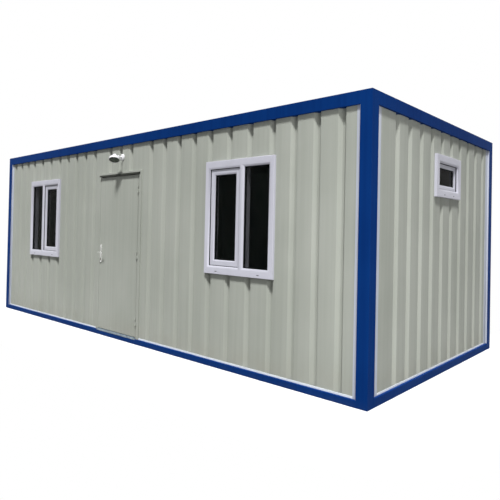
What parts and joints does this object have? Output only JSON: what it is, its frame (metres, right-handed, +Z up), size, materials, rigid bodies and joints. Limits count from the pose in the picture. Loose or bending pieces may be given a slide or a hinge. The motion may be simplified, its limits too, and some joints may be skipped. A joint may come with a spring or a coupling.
{
  "type": "portable site cabin",
  "caption": "Flat-roofed steel-framed site cabin with grooved pale walls, casement windows, a vent window, a hinged flush door and a lamp over it.",
  "frame": {"origin": "on the ground, in the middle of the footprint of the steel frame", "axes": "+Z up, -Y out of the long front with the door, +X out of the end with the vent window"},
  "size_m": [7.005, 3.1759, 2.55],
  "materials": {
    "frame_blue": "gloss enamel",
    "wall_paint": "satin enamel",
    "trim_paint": "satin enamel",
    "window_white": "moulded",
    "window_glass": "clear",
    "roof_paint": "satin enamel",
    "hidden_steel": "primer",
    "deck_board": "covered board",
    "lining_board": "laminate",
    "threshold_metal": "galvanised",
    "drip_cap_metal": "weathered",
    "lever_metal": "satin",
    "lamp_paint": "enamel",
    "lamp_lens": "clear"
  },
  "bodies": {
    "cabin": {"back_wall": "wall_paint", "base_rail_back": "frame_blue", "base_rail_front": "frame_blue", "base_rail_left": "frame_blue", "base_rail_right": "frame_blue", "base_trims": "trim_paint", "ceiling_panel": "lining_board", "corner_trims": "trim_paint", "door_drip_cap": "drip_cap_metal", "door_frame": "wall_paint", "door_threshold": "threshold_metal", "floor_deck": "deck_board", "floor_frame": "hidden_steel", "frame_hinges": "wall_paint", "front_wall_left": "wall_paint", "front_wall_over_door": "wall_paint", "front_wall_right": "wall_paint", "lamp_base": "lamp_paint", "lamp_glass": "lamp_lens", "lamp_shade": "lamp_paint", "left_end_wall": "wall_paint", "left_window_frame": "window_white", "left_window_glass": "window_glass", "left_window_sash": "window_white", "post_back_left": "frame_blue", "post_back_right": "frame_blue", "post_front_left": "frame_blue", "post_front_right": "frame_blue", "post_plates": "frame_blue", "right_end_wall": "wall_paint", "right_window_frame": "window_white", "right_window_glass": "window_glass", "right_window_sash": "window_white", "roof_beams": "hidden_steel", "roof_panel": "roof_paint", "roof_rail_back": "frame_blue", "roof_rail_front": "frame_blue", "roof_rail_left": "frame_blue", "roof_rail_right": "frame_blue", "vent_window_frame": "window_white", "vent_window_glass": "window_glass", "vent_window_sash": "window_white", "wall_linings": "lining_board", "window_handles": "window_white"},
    "door": {"door_leaf": "wall_paint", "leaf_hinges": "wall_paint", "lever_plates": "lever_metal"},
    "lever": {"door_lever": "lever_metal"}
  },
  "joints": [
    {"name": "door_swing", "type": "hinge", "parent": "cabin", "child": "door", "pos_m": [0.3285, -1.504, 0], "axis": [0, 0, 1], "range_deg": [0, 110]},
    {"name": "lever_turn", "type": "hinge", "parent": "door", "child": "lever", "pos_m": [-0.485, -1.492, 1.075], "axis": [0, 1, 0], "range_deg": [0, 45], "stiffness_Nm_per_rad": 1.2, "springref_deg": -28.65}
  ]
}
